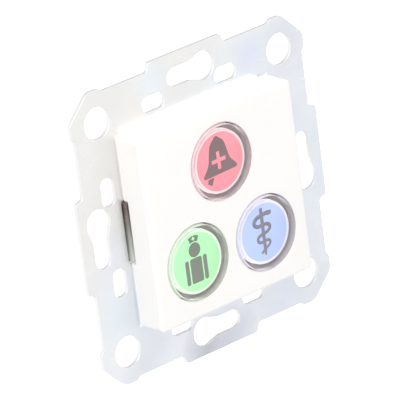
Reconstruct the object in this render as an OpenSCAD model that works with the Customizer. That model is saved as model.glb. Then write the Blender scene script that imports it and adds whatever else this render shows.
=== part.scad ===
// Nurse call button: three round push buttons in a square module on a steel mounting plate.
// Sizes are in millimetres. The part hangs on a wall: X points right, Z up, and the front faces -Y.
// The origin is the centre of the plate's back face, where it meets the wall.
// Each sub-part is drawn lying on a bench, front up, and hung() turns it onto the wall.

/* [Mounting plate] */
// Thickness of the steel sheet
plate_t = 1; // [0.8:0.1:1.4]
// Distance from the cover's side to the keyholes, which gives 60 mm between opposite ones
keyhole_off = 7.5; // [7.3:0.1:7.7]
// Distance from the keyholes to the edge of the middle tabs
tab_margin = 5.5; // [5:0.1:6.5]
// How far the long edges stand behind the middle tabs
edge_setback = 2.1; // [1.6:0.1:2.4]
// How far the corner lobes stand behind the middle tabs
lobe_setback = 1.3; // [0.8:0.1:1.4]
// Length of each middle tab along its side
tab_l = 21.2; // [19:0.2:23]
// Run of the slope at each end of a middle tab
tab_slope = 0.7; // [0.4:0.1:1]
// Length of a corner lobe along its side
lobe_l = 9; // [8.8:0.1:10]
// Run of the slope at the start of a corner lobe
lobe_slope = 1; // [0.6:0.1:1.4]
// Leg of the cut across each corner
corner_cut = 5.8; // [5:0.2:6.4]
// Distance of a corner hole's centre from the lobe's two edges
corner_hole_in = 7.45; // [7.2:0.05:7.7]
// Diameter of the corner holes
corner_hole_d = 7.2; // [6:0.2:7.4]
// Diameter of the round end of a keyhole, where the screw head passes
keyhole_d = 6.6; // [6:0.1:7]
// Width of the slot of a keyhole
keyslot_w = 4.3; // [4.1:0.1:4.6]
// Distance from the keyhole's middle to its round end's centre
keyhole_shift = 4.5; // [4:0.1:5]
// Distance from the keyhole's middle to the far end of its slot
keyslot_reach = 6; // [5.5:0.1:6.5]
// Length of the small slots for spreader claws
claw_slot_l = 6.4; // [6:0.2:7]
// Width of the small slots
claw_slot_w = 3.6; // [3.2:0.1:3.8]
// How far a small slot reaches past the end of the keyhole beside it
claw_slot_tuck = 0.4; // [0:0.1:0.6]
// Distance from the cover's side to the middle of the small slots
claw_slot_off = 3.8; // [3.5:0.1:4.1]

/* [Front cover] */
// Rim of the cover between its sides and the nearest wells
cover_margin = 3.5; // [3:0.1:4]
// Height of the cover's face above the plate
cover_rise = 7.7; // [7.5:0.1:9]
// Thickness of the cover's side walls
cover_wall = 1.5; // [1.2:0.1:1.6]
// Thickness of the cover's face
cover_face = 1.6; // [1.2:0.1:2]
// Radius of the cover's upright corners
cover_corner_r = 1.2; // [0.9:0.1:1.5]
// Radius around the cover's face
cover_edge_r = 0.8; // [0.4:0.1:0.8]
// Shadow gap between the cover and the plate
shadow_gap = 0.4; // [0.2:0.1:0.6]
// Length of the pry notch in the left and right walls
notch_l = 14.8; // [14.2:0.2:15.4]
// Height of the pry notch
notch_h = 1.2; // [0.8:0.1:1.4]

/* [Buttons] */
// Diameter of the clear caps
cap_d = 17; // [16.8:0.1:17.4]
// Gap around a cap in its well
cap_gap = 0.4; // [0.3:0.05:0.45]
// Height of a clear cap
cap_h = 4; // [3.6:0.1:4.4]
// How far a cap stands proud of the cover
cap_proud = 0.5; // [0.3:0.1:0.8]
// Thickness of a cap over its label
window_t = 2; // [1.8:0.1:2.2]
// Thickness of a cap's side wall
cap_wall = 1.2; // [1:0.1:1.4]
// Radius of a cap's rim
cap_rim_r = 0.15; // [0.1:0.05:0.4]
// Thickness of a printed label
label_t = 0.3; // [0.2:0.1:0.5]
// Thickness of the splash seal under a cap
seal_t = 0.3; // [0.2:0.1:0.5]
// Travel of a button
travel = 1; // [0.6:0.1:1]
// Web of the cover between two wells
button_web = 2.4; // [1.8:0.1:2.8]
// How far the three buttons stand above the middle of the cover
buttons_up = 0.3; // [0:0.1:0.6]

/* [Module body] */
// Depth of the rear housing behind the plate's back face
body_depth = 7.5; // [7.2:0.1:9]
// Wall of the rear housing and of the frame's skirt
body_wall = 1.2; // [1:0.1:1.4]
// Thickness of the frame's deck
deck_t = 1; // [0.8:0.1:1.2]
// How far the frame's upper and lower lips stand out past the cover
lip_out = 1.3; // [0.8:0.1:1.6]
// How far a lip ends inside the cover's side on its long end
lip_in = 1.3; // [1.2:0.1:2]
// How far a lip ends inside the cover's side on its keyed, short end
lip_key_in = 3.1; // [2.8:0.1:4]
// Depth of the board's top side behind the plate's back face
board_depth = 3.4; // [3:0.1:3.5]
// Thickness of the circuit board
board_t = 1.6; // [1.2:0.1:1.6]

/* [Springs and clips] */
// Wire diameter of a return spring
wire_d = 0.45; // [0.35:0.05:0.5]
// Radius of a return spring at the middle of its wire
coil_r = 3; // [2.9:0.05:3.2]
// Width of a retaining clip
clip_w = 13.6; // [12:0.2:13.6]
// Thickness of a retaining clip
clip_t = 0.5; // [0.4:0.1:0.6]

/* [Terminals] */
// Number of wire terminals
poles = 5; // [3:1:5]
// Distance between terminals
pole_pitch = 5; // [4.6:0.1:5.08]
// Height of the terminal block off the board
terminal_h = 8.5; // [8:0.1:10]
// Width of the terminal block across its wire entries
terminal_d = 8.5; // [8:0.1:9]

/* [Hidden] */
$fn = 48;
overrun = 1;
corner_steps = 6;
quarter = 90;

// Running and seating clearances
slip = 0.1;
seat_gap = 0.05;
body_gap = 0.3;

// Heights on the bench, from the plate's back face
plate_front = plate_t;
deck_top = plate_front + deck_t;
cover_base = plate_front + shadow_gap;
cover_front = plate_front + cover_rise;
cover_ceiling = cover_front - cover_face;
board_top = -board_depth;
board_base = board_top - board_t;
body_back = -body_depth;

// Widths that follow from the caps and what stands beside them
well_r = cap_d / 2 + cap_gap;
button_pitch = 2 * well_r + button_web;
cover_w = button_pitch + 2 * well_r + 2 * cover_margin;
led_l = 2.8;
led_out = 4.7;
led_gap = 0.4;
body_w = button_pitch + 2 * (led_out + led_l / 2 + led_gap + body_wall);
lip_long = cover_w / 2 - lip_in;
lip_short = cover_w / 2 - lip_key_in;

// Mounting plate
box_pitch = cover_w + 2 * keyhole_off;
tab_reach = box_pitch / 2 + tab_margin;
edge_reach = tab_reach - edge_setback;
lobe_reach = tab_reach - lobe_setback;
lobe_end = lobe_reach - corner_cut;
lobe_start = lobe_reach - lobe_l;
corner_hole_at = lobe_reach - corner_hole_in;
claw_slot_along = keyhole_shift + keyhole_d / 2 + claw_slot_l / 2 - claw_slot_tuck;
claw_slot_out = cover_w / 2 + claw_slot_off;
corner_soft_r = 2.5;
lobe_soft_r = 1.2;
tab_soft_r = 0.8;
opening_w = body_w + 2 * body_gap;
opening_r = 1.5;
neck_drop = 4.2;
keyslot_end = keyslot_reach - keyslot_w / 2;
claw_slot_r = 1.5;
notch_out = 0.6;
notch_reach = cover_w / 2 + notch_out;
notch_r = 0.8;

// Cover
cavity_w = cover_w - 2 * cover_wall;
collar_wall = 1.3;
cover_rib_t = 0.8;
cover_rib_h = 1.5;

// Buttons
call_at = [0, buttons_up + button_pitch / 2];
nurse_at = [-button_pitch / 2, buttons_up - button_pitch / 2];
doctor_at = [button_pitch / 2, buttons_up - button_pitch / 2];
cap_top = cover_front + cap_proud;
cap_base = cap_top - cap_h;
pocket_r = cap_d / 2 - cap_wall;
label_gap = 0.1;
label_r = pocket_r - label_gap;
label_base = cap_top - window_t - label_t;
plunger_r = pocket_r - label_gap;
plunger_face = 1.2;
plunger_wall = 0.95;
hollow_r = plunger_r - plunger_wall;
hollow_top = label_base - plunger_face;
stop_overlap = 0.5;
stop_r = well_r + stop_overlap;
stop_t = 1;
seal_base = cap_base - seal_t;
stop_base = seal_base - stop_t;
collar_base = cap_base + slip;
boss_r = 1.5;
boss_gap = 0.4;
pilot_h = 0.7;
pilot_gap = 0.25;
pilot_r = coil_r - wire_d / 2 - pilot_gap;
key_w = 2;
key_t = 1;
key_gap = 0.3;
key_out = stop_r - key_t;

// Switches
switch_w = 6;
switch_h = 3.5;
switch_top = board_top + switch_h;
stem_r = 1.4;
stem_gap = 0.3;
stem_in = 0.9;
stem_spare = 0.5;
stem_top = switch_top + travel + stem_spare;
turret_r = 2.4;
turret_h = 0.4;
leg_w = 0.7;
leg_t = 0.25;
leg_out = 0.9;
leg_rise = 1.2;

// Return springs
curls = 3;
rings_per_curl = 8;
wire_sides = 6;
coil_base = deck_top + seat_gap + wire_d / 2;
coil_top = hollow_top - seat_gap - wire_d / 2;

// Frame
frame_w = cavity_w - 2 * body_gap;
skirt_r = 2;
lip_r = 2.4;
tube_r = 6.8;
tube_wall = 0.8;
seat_ring_w = 1.6;
light_in = pilot_r + seat_ring_w;
light_out = 6.4;
spoke_w = 1.4;
arm_w = 5;
arm_t = 0.9;
arm_h = 3.6;
nose_h = 0.9;
nose_out = 0.5;
arm_share = 0.34;
side_arm_share = 0.145;
arm_spots = [
  [0, arm_share * frame_w], [0, -arm_share * frame_w], [1, -side_arm_share * frame_w], [2, 0],
  [3, side_arm_share * frame_w]
];

// Screws that hold the rear housing to the frame
screw_boss_r = 2.3;
screw_low_in = 1.7;
screw_x = body_w / 2 - body_wall - screw_boss_r - slip;
screw_low_y = body_w / 2 - body_wall - screw_low_in;
screw_spots = [[screw_x, screw_x], [-screw_x, screw_x], [0, -screw_low_y]];
screw_r = 1.1;
screw_head_r = 2;
screw_head_h = 1.2;
screw_point_z = 0.2;
screw_tip = 0.6;
screw_drive_w = 0.5;
screw_drive_l = 2.4;
screw_drive_h = 0.5;
screw_pass_r = 1.4;
screw_web = 1;
screw_sink = board_base - screw_web - screw_head_h - body_back;
screw_l = screw_point_z - body_back - screw_sink;

// Rear housing
floor_t = 1.2;
floor_top = body_back + floor_t;
back_edge_r = 1.2;
rail_w = 0.6;
rail_out = 1;
support_w = 2.4;

// Board
board_gap = 0.2;
board_w = body_w - 2 * body_wall - 2 * board_gap;
board_r = 1;

// Lights
led_w = 3.2;
led_h = 1.9;
led_lens_r = 1.2;
led_lens_h = 0.25;

// Terminal block
terminal_end = 0.5;
terminal_w = poles * pole_pitch + 2 * terminal_end;
terminal_gap = 0.55;
terminal_y = screw_boss_r + terminal_gap + terminal_d / 2 - screw_low_y;
terminal_top = board_base;
terminal_back = terminal_top - terminal_h;
terminal_edge = 0.8;
entry_w = 3.6;
entry_h = 3.8;
entry_depth = 6;
entry_up = 3.7;
clamp_gap = 0.05;
clamp_t = 0.5;
clamp_l = 4;
clamp_in = 0.4;
tscrew_r = 1.6;
tscrew_gap = 0.15;
tscrew_sink = 0.4;
tscrew_slot_w = 0.6;
tscrew_slot_h = 0.6;
divider_w = 0.8;
divider_h = 0.6;

// Retaining clips, as points in the section across the left or right side
clip_foot_up = 0.5;
clip_bend_up = 3.3;
clip_knee_in = 0.1;
clip_knee_z = -1.3;
clip_tip_in = 0.3;
clip_tip_up = 0.5;
clip_seat = body_w / 2 + seat_gap + clip_t / 2;
clip_knee = notch_reach - clip_knee_in;
clip_tip = cover_w / 2 - clip_tip_in;
clip_foot_z = body_back + clip_foot_up;
clip_bend_z = body_back + clip_bend_up;
clip_tip_z = cover_base + clip_tip_up;
clip_bend_r = 1;
clip_knee_r = 0.6;

// Turns a sub-part from the bench onto the wall
module hung() rotate([quarter, 0, 0]) children();

// Points and outlines

function unit(v) = v / norm(v);

function turned(p, a) = [p[0] * cos(a) - p[1] * sin(a), p[0] * sin(a) + p[1] * cos(a)];

// Arc of radius r that rounds the corner b between a and c
function corner_arc(a, b, c, r) =
  let (
    u = unit(a - b), w = unit(c - b), half = acos(u * w) / 2,
    centre = b + unit(u + w) * r / sin(half),
    first = b + u * r / tan(half) - centre,
    last = b + w * r / tan(half) - centre,
    start = atan2(first[1], first[0]), turn = atan2(cross(first, last), first * last)
  )
  [for (i = [0:corner_steps]) centre + r * turned([1, 0], start + turn * i / corner_steps)];

function rounded(points, radii) =
  let (n = len(points))
  [for (i = [0:n - 1]) each corner_arc(points[(i + n - 1) % n], points[i], points[(i + 1) % n], radii[i])];

// A path that stays open, with its inner corners rounded
function rounded_path(points, radii) =
  let (n = len(points))
  [
    points[0],
    for (i = [1:n - 2]) each corner_arc(points[i - 1], points[i], points[i + 1], radii[i]),
    points[n - 1]
  ];

function path_normal(path, i) =
  let (n = len(path), along = unit(path[min(i + 1, n - 1)] - path[max(i - 1, 0)]))
  [-along[1], along[0]];

// Outline of a strip of thickness t that follows a path
function strip(path, t) =
  let (n = len(path))
  concat(
    [for (i = [0:n - 1]) path[i] + path_normal(path, i) * t / 2],
    [for (i = [n - 1:-1:0]) path[i] - path_normal(path, i) * t / 2]
  );

function box_points(x0, x1, y0, y1) = [[x0, y0], [x1, y0], [x1, y1], [x0, y1]];

// One side of the plate, from its left corner cut to its right one
plate_side = [
  [-lobe_end, lobe_reach], [-lobe_start, lobe_reach], [-lobe_start + lobe_slope, edge_reach],
  [-tab_l / 2 - tab_slope, edge_reach], [-tab_l / 2, tab_reach], [tab_l / 2, tab_reach],
  [tab_l / 2 + tab_slope, edge_reach], [lobe_start - lobe_slope, edge_reach],
  [lobe_start, lobe_reach], [lobe_end, lobe_reach]
];
plate_side_r = [
  corner_soft_r, lobe_soft_r, lobe_soft_r, tab_soft_r, tab_soft_r, tab_soft_r, tab_soft_r,
  lobe_soft_r, lobe_soft_r, corner_soft_r
];

module rounded_rect(w, h, r) polygon(rounded(box_points(-w / 2, w / 2, -h / 2, h / 2), [r, r, r, r]));

// A flat body between two heights
module layer(low, high) translate([0, 0, low]) linear_extrude(high - low) children();

module post(r, low, high) translate([0, 0, low]) cylinder(r = r, h = high - low);

module hole(r, low, high) post(r, low - overrun, high + overrun);

module at(p) translate([p[0], p[1], 0]) children();

module each_button() for (p = [call_at, nurse_at, doctor_at]) at(p) children();

// The upper button is keyed below its centre, the lower ones above theirs
function key_turn(p) = p[1] > 0 ? -quarter : quarter;

// Mounting plate

// Keyhole of the upper side: round end to the right, slot to the left
module keyhole() {
  translate([keyhole_shift, 0]) circle(d = keyhole_d);
  translate([-keyslot_end, 0]) circle(d = keyslot_w);
  translate([-keyslot_end, -keyslot_w / 2]) square([keyslot_end + keyhole_shift, keyslot_w]);
  polygon([
    [keyhole_shift, keyhole_d / 2], [keyhole_shift - neck_drop, keyslot_w / 2],
    [keyhole_shift - neck_drop, -keyslot_w / 2], [keyhole_shift, -keyhole_d / 2]
  ]);
}

module plate_opening() {
  rounded_rect(opening_w, opening_w, opening_r);
  rounded_rect(2 * notch_reach, notch_l, notch_r);
}

module mounting_plate() color("lightsteelblue") hung() difference() {
  layer(0, plate_t) polygon(rounded(
    [for (k = [0:3]) for (p = plate_side) turned(p, -quarter * k)],
    [for (k = [0:3]) each plate_side_r]
  ));
  layer(-overrun, plate_t + overrun) plate_opening();
  for (x = [-1, 1], y = [-1, 1])
    translate([x * corner_hole_at, y * corner_hole_at]) hole(corner_hole_d / 2, 0, plate_t);
  for (k = [0:3]) rotate(-quarter * k) layer(-overrun, plate_t + overrun) {
    translate([0, box_pitch / 2]) keyhole();
    for (side = [-1, 1]) translate([side * claw_slot_along, claw_slot_out])
      rounded_rect(claw_slot_l, claw_slot_w, claw_slot_r);
  }
}

// Front cover

module cover_edge() {
  h = cover_front - cover_base;
  square([cover_corner_r, h - cover_edge_r]);
  square([cover_corner_r - cover_edge_r, h]);
  translate([cover_corner_r - cover_edge_r, h - cover_edge_r]) circle(r = cover_edge_r);
}

// The cover's outer shape, with its face and corners rounded
module cover_block() {
  core = cover_w / 2 - cover_corner_r;
  layer(cover_base, cover_front) square(2 * core, center = true);
  for (k = [0:3]) rotate(quarter * k) translate([core, core, cover_base]) {
    rotate([quarter, 0, 0]) linear_extrude(2 * core) intersection() {
      cover_edge();
      square([cover_corner_r, cover_front - cover_base]);
    }
    rotate_extrude(angle = quarter) intersection() {
      cover_edge();
      square([cover_corner_r, cover_front - cover_base]);
    }
  }
}

module cover_ribs() {
  for (k = [0:3], side = [-1, 1]) rotate(quarter * k)
    translate([side * cavity_w / 4, cavity_w / 2])
      layer(cover_ceiling - cover_rib_h, cover_ceiling)
        translate([-cover_rib_t / 2, -cover_rib_h]) square([cover_rib_t, cover_rib_h]);
}

module front_cover() color("white") hung() difference() {
  union() {
    difference() {
      cover_block();
      layer(cover_base - overrun, cover_ceiling) square(cavity_w, center = true);
    }
    each_button() post(well_r + collar_wall, collar_base, cover_ceiling);
    cover_ribs();
  }
  each_button() hole(well_r, collar_base, cover_front);
  layer(cover_base - overrun, cover_base + notch_h)
    square([cover_w + 2 * overrun, notch_l], center = true);
  for (k = [0, 1]) rotate(2 * quarter * k) layer(cover_base - overrun, deck_top + slip)
    translate([-lip_long - slip, 0]) square([lip_long + lip_short + 2 * slip, cover_w]);
  for (s = arm_spots) rotate(-quarter * s[0]) translate([s[1], cavity_w / 2])
    layer(deck_top + arm_h - nose_h - slip, deck_top + arm_h + slip)
      translate([-arm_w / 2 - slip, -slip]) square([arm_w + 2 * slip, nose_out + slip]);
}

// Module frame

module lip(reach) polygon(rounded_path(
  [[-lip_long, 0], [-lip_long, reach], [lip_short, reach], [lip_short, 0]], [0, lip_r, lip_r, 0]
));

module snap_arm() {
  edge = frame_w / 2 - slip;
  translate([-arm_w / 2, 0]) rotate([quarter, 0, quarter]) linear_extrude(arm_w) polygon([
    [edge - arm_t, plate_front], [edge, plate_front], [edge, deck_top + arm_h - nose_h],
    [edge + nose_out, deck_top + arm_h - nose_h / 2], [edge, deck_top + arm_h],
    [edge - arm_t, deck_top + arm_h]
  ]);
}

module light_window() difference() {
  circle(r = light_out);
  circle(r = light_in);
  for (k = [0, 1]) rotate(quarter / 2 + quarter * k) square([2 * tube_r, spoke_w], center = true);
}

module module_frame() color("whitesmoke") hung() difference() {
  union() {
    layer(plate_front, deck_top) {
      rounded_rect(frame_w, frame_w, opening_r);
      for (k = [0, 1]) rotate(2 * quarter * k) lip(cover_w / 2 + lip_out);
    }
    layer(board_top, plate_front) difference() {
      rounded_rect(body_w, body_w, skirt_r);
      square(body_w - 2 * body_wall, center = true);
    }
    intersection() {
      layer(board_top + seat_gap, plate_front) square(body_w - body_wall, center = true);
      union() {
        each_button() post(tube_r + tube_wall, board_top, plate_front);
        for (p = screw_spots) at(p) post(screw_boss_r, board_top, plate_front);
      }
    }
    each_button() post(pilot_r, plate_front, deck_top + pilot_h);
    for (s = arm_spots) rotate(-quarter * s[0]) translate([s[1], 0]) snap_arm();
    for (p = [call_at, nurse_at, doctor_at]) at(p) rotate(key_turn(p))
      layer(plate_front, collar_base - body_gap)
        translate([key_out + key_gap, -key_w / 2]) square([key_t, key_w]);
  }
  each_button() {
    hole(boss_r + boss_gap, plate_front, deck_top + pilot_h);
    post(tube_r, board_top - overrun, plate_front);
    layer(plate_front - overrun, deck_top + overrun) light_window();
  }
  for (p = screw_spots) at(p) post(screw_r + seat_gap, board_top - overrun, plate_front - seat_gap);
}

// Rear housing

module housing_block() {
  core = body_w / 2 - skirt_r;
  layer(body_back + back_edge_r, board_top) rounded_rect(body_w, body_w, skirt_r);
  layer(body_back, body_back + back_edge_r) square(2 * core, center = true);
  for (k = [0:3]) rotate(quarter * k) translate([core, core, body_back]) {
    rotate([quarter, 0, 0]) linear_extrude(2 * core) housing_edge();
    rotate_extrude(angle = quarter) housing_edge();
  }
}

module housing_edge() polygon([
  [0, 0], [skirt_r - back_edge_r, 0], [skirt_r, back_edge_r], [0, back_edge_r]
]);

module clip_rails() {
  for (k = [0, 1], side = [-1, 1]) rotate(2 * quarter * k)
    layer(clip_foot_z - seat_gap, clip_bend_z)
      translate([body_w / 2 - seat_gap, side * (clip_w / 2 + seat_gap + rail_w / 2) - rail_w / 2])
        square([rail_out + seat_gap, rail_w]);
}

module rear_housing() color("gainsboro") hung() difference() {
  union() {
    difference() {
      housing_block();
      layer(floor_top, board_top + overrun) square(body_w - 2 * body_wall, center = true);
    }
    for (p = screw_spots) at(p) post(screw_boss_r, body_back, board_base - seat_gap);
    for (x = [-1, 1]) translate([x * (body_w / 2 - body_wall - support_w / 2), -screw_x])
      layer(floor_top - seat_gap, board_base - seat_gap) square(support_w, center = true);
    clip_rails();
  }
  for (p = screw_spots) at(p) {
    hole(screw_pass_r, body_back, board_base);
    post(screw_head_r + slip, body_back - overrun, body_back + screw_head_h + screw_sink);
  }
  layer(body_back - overrun, floor_top + overrun) translate([0, terminal_y])
    square([terminal_w + 2 * slip, terminal_d + 2 * slip], center = true);
}

// Retaining clips

clip_path = rounded_path(
  [
    [clip_seat, clip_foot_z], [clip_seat, clip_bend_z], [clip_knee, clip_knee_z],
    [clip_tip, clip_tip_z]
  ],
  [0, clip_bend_r, clip_knee_r, 0]
);

module clip() translate([0, clip_w / 2, 0]) rotate([quarter, 0, 0]) linear_extrude(clip_w)
  polygon(strip(clip_path, clip_t));

module left_clip() color("dimgray") hung() rotate(2 * quarter) clip();

module right_clip() color("dimgray") hung() clip();

// Circuit board and what is soldered to it

module circuit_board() color("darkgreen") hung() difference() {
  layer(board_base, board_top) rounded_rect(board_w, board_w, board_r);
  for (p = screw_spots) at(p) hole(screw_pass_r, board_base, board_top);
}

module indicator_leds() color("lightyellow") hung() each_button() for (side = [-1, 1])
  translate([side * led_out, 0]) {
    layer(board_top, board_top + led_h) square([led_l, led_w], center = true);
    post(led_lens_r, board_top, board_top + led_h + led_lens_h);
  }

module switch_body() difference() {
  union() {
    layer(board_top, switch_top - turret_h) square(switch_w, center = true);
    post(turret_r, board_top, switch_top);
    for (x = [-1, 1], y = [-1, 1]) translate([x * switch_w / 4, y * (switch_w + leg_out) / 2])
      layer(board_top, board_top + leg_t) square([leg_w, leg_out + leg_t], center = true);
    for (x = [-1, 1], y = [-1, 1]) translate([x * switch_w / 4, y * (switch_w + leg_t) / 2])
      layer(board_top, board_top + leg_rise) square([leg_w, leg_t], center = true);
  }
  post(stem_r + stem_gap, switch_top - stem_in - travel - stem_gap, switch_top + overrun);
}

module switch_stem() post(stem_r, switch_top - stem_in, stem_top);

module terminal_block() color("seagreen") hung() translate([0, terminal_y]) difference() {
  union() {
    layer(terminal_back + terminal_edge, terminal_top)
      square([terminal_w, terminal_d], center = true);
    layer(terminal_back, terminal_top) translate([0, terminal_edge / 2])
      square([terminal_w, terminal_d - terminal_edge], center = true);
  }
  each_pole() {
    layer(terminal_back + entry_up - entry_h / 2, terminal_back + entry_up + entry_h / 2)
      translate([-entry_w / 2, -terminal_d / 2 - overrun])
        square([entry_w, entry_depth + overrun]);
    translate([0, entry_middle])
      post(tscrew_r + tscrew_gap, terminal_back - overrun, terminal_back + entry_up);
  }
  for (k = [1:poles - 1]) translate([(k - poles / 2) * pole_pitch, 0])
    layer(terminal_back - overrun, terminal_back + divider_h)
      square([divider_w, terminal_d + 2 * overrun], center = true);
}

entry_middle = -terminal_d / 2 + clamp_in + clamp_l / 2;

module each_pole() for (k = [0:poles - 1])
  translate([(k - (poles - 1) / 2) * pole_pitch, 0]) children();

module terminal_clamps() color("silver") hung() translate([0, terminal_y]) each_pole() {
  outer_w = entry_w - 2 * clamp_gap;
  outer_h = entry_h - 2 * clamp_gap;
  translate([0, entry_middle + clamp_l / 2, terminal_back + entry_up]) rotate([quarter, 0, 0])
    linear_extrude(clamp_l) difference() {
      square([outer_w, outer_h], center = true);
      square([outer_w - 2 * clamp_t, outer_h - 2 * clamp_t], center = true);
    }
}

module terminal_screws() color("gainsboro") hung() at([0, terminal_y + entry_middle]) each_pole()
  difference() {
    head = terminal_back + tscrew_sink;
    post(tscrew_r, head, terminal_back + entry_up - entry_h / 2 + clamp_gap);
    layer(head - overrun, head + tscrew_slot_h)
      square([2 * tscrew_r + overrun, tscrew_slot_w], center = true);
  }

module housing_screws() color("silver") hung() for (p = screw_spots) at(p) difference() {
  head = body_back + screw_sink;
  union() {
    post(screw_head_r, head, head + screw_head_h);
    post(screw_r, head, head + screw_l - screw_tip);
    translate([0, 0, head + screw_l - screw_tip])
      cylinder(r1 = screw_r, r2 = screw_r / 2, h = screw_tip);
  }
  for (k = [0, 1]) rotate(quarter * k) layer(head - overrun, head + screw_drive_h)
    square([screw_drive_l, screw_drive_w], center = true);
}

// Buttons

module cap() translate([0, 0, cap_base]) rotate_extrude() difference() {
  intersection() {
    union() {
      square([cap_d / 2 - cap_rim_r, cap_h]);
      square([cap_d / 2, cap_h - cap_rim_r]);
      translate([cap_d / 2 - cap_rim_r, cap_h - cap_rim_r]) circle(r = cap_rim_r);
    }
    square([cap_d / 2, cap_h]);
  }
  square([pocket_r, cap_h - window_t]);
}

module label() post(label_r, label_base, label_base + label_t);

module key_slot() layer(stop_base - overrun, cap_base + overrun)
  translate([key_out, -key_w / 2 - key_gap]) square([key_t + overrun, key_w + 2 * key_gap]);

module plunger() difference() {
  union() {
    post(stop_r, stop_base, seal_base);
    post(plunger_r, stop_base, label_base);
  }
  post(hollow_r, stop_base - overrun, hollow_top);
  key_slot();
}

// Soft ring that closes the well while the button is up
module seal() difference() {
  post(stop_r, seal_base, cap_base);
  hole(plunger_r + seat_gap, seal_base, cap_base);
  key_slot();
}

module plunger_boss() {
  post(boss_r, stem_top, hollow_top + seat_gap);
  post(pilot_r, hollow_top - pilot_h, hollow_top + seat_gap);
}

// Return spring: one wire of six sides wound in a helix
pitch = (coil_top - coil_base) / curls;
coil_rings = curls * rings_per_curl;

function coil_centre(i) =
  let (a = 360 * i / rings_per_curl)
  [coil_r * cos(a), coil_r * sin(a), coil_base + pitch * i / rings_per_curl];

function coil_ring(i) =
  let (
    a = 360 * i / rings_per_curl, out = [cos(a), sin(a), 0],
    along = unit([-sin(a) * coil_r * 2 * PI, cos(a) * coil_r * 2 * PI, pitch]),
    side = cross(out, along)
  )
  [for (k = [0:wire_sides - 1])
    coil_centre(i) + wire_d / 2 * (out * cos(360 * k / wire_sides) + side * sin(360 * k / wire_sides))];

least_coil_gap = min([for (i = [0:coil_rings], j = [i + rings_per_curl / 2:coil_rings])
  norm(coil_centre(i) - coil_centre(j))]) - wire_d;
echo("least gap of a return spring to itself, in mm", least_coil_gap);

module coil() polyhedron(
  points = [for (i = [0:coil_rings]) each coil_ring(i)],
  faces = concat(
    [[for (k = [0:wire_sides - 1]) k]],
    [for (i = [0:coil_rings - 1], k = [0:wire_sides - 1])
      let (a = i * wire_sides + k, b = i * wire_sides + (k + 1) % wire_sides)
      each [[a, a + wire_sides, b], [b, a + wire_sides, b + wire_sides]]],
    [[for (k = [wire_sides - 1:-1:0]) coil_rings * wire_sides + k]]
  )
);

module call_cap() color("lightpink", 0.5) hung() at(call_at) cap();
module call_label() color("tomato") hung() at(call_at) label();
module call_seal() color("black") hung() at(call_at) rotate(key_turn(call_at)) seal();
module call_plunger() color("white") hung() at(call_at) {
  rotate(key_turn(call_at)) plunger();
  plunger_boss();
}
module call_spring() color("silver") hung() at(call_at) coil();
module call_switch() color("dimgray") hung() at(call_at) switch_body();
module call_switch_stem() color("black") hung() at(call_at) switch_stem();

module nurse_cap() color("palegreen", 0.5) hung() at(nurse_at) cap();
module nurse_label() color("limegreen") hung() at(nurse_at) label();
module nurse_seal() color("black") hung() at(nurse_at) rotate(key_turn(nurse_at)) seal();
module nurse_plunger() color("white") hung() at(nurse_at) {
  rotate(key_turn(nurse_at)) plunger();
  plunger_boss();
}
module nurse_spring() color("silver") hung() at(nurse_at) coil();
module nurse_switch() color("dimgray") hung() at(nurse_at) switch_body();
module nurse_switch_stem() color("black") hung() at(nurse_at) switch_stem();

module doctor_cap() color("lightblue", 0.5) hung() at(doctor_at) cap();
module doctor_label() color("royalblue") hung() at(doctor_at) label();
module doctor_seal() color("black") hung() at(doctor_at) rotate(key_turn(doctor_at)) seal();
module doctor_plunger() color("white") hung() at(doctor_at) {
  rotate(key_turn(doctor_at)) plunger();
  plunger_boss();
}
module doctor_spring() color("silver") hung() at(doctor_at) coil();
module doctor_switch() color("dimgray") hung() at(doctor_at) switch_body();
module doctor_switch_stem() color("black") hung() at(doctor_at) switch_stem();

mounting_plate();
front_cover();
module_frame();
rear_housing();
left_clip();
right_clip();
circuit_board();
indicator_leds();
terminal_block();
terminal_clamps();
terminal_screws();
housing_screws();
call_cap();
call_label();
call_seal();
call_plunger();
call_spring();
call_switch();
call_switch_stem();
nurse_cap();
nurse_label();
nurse_seal();
nurse_plunger();
nurse_spring();
nurse_switch();
nurse_switch_stem();
doctor_cap();
doctor_label();
doctor_seal();
doctor_plunger();
doctor_spring();
doctor_switch();
doctor_switch_stem();
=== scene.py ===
import math

import bmesh
import bpy
from mathutils import Matrix, Vector


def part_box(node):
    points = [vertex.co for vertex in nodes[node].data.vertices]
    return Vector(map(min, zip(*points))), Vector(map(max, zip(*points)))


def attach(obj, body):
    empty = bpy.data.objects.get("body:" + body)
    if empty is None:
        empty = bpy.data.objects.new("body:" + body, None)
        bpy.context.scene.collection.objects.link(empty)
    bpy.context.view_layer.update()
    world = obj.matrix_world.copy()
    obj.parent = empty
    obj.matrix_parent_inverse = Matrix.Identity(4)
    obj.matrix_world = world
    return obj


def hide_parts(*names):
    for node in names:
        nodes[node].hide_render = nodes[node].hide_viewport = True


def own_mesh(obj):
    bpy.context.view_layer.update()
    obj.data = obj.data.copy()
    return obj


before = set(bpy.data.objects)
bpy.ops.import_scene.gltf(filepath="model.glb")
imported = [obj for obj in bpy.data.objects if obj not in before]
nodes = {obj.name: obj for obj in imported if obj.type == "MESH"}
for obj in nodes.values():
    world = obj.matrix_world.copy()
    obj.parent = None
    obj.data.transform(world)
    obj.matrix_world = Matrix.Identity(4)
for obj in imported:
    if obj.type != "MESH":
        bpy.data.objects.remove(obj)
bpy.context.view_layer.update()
mm = 0.001
plateFront = 1.0  # heights above the wall, in mm
capTop = 9.2
print("frame loaded:", len(nodes), "CAD nodes")


def capMiddle(button):  # seen from the front, in mm
    low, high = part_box(button + "_cap")
    middle = (low + high) / 2
    return round(middle.x / mm, 2), round(middle.z / mm, 2)


buttons = {name: capMiddle(name) for name in ("call", "nurse", "doctor")}
print("buttons at", buttons)


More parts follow.
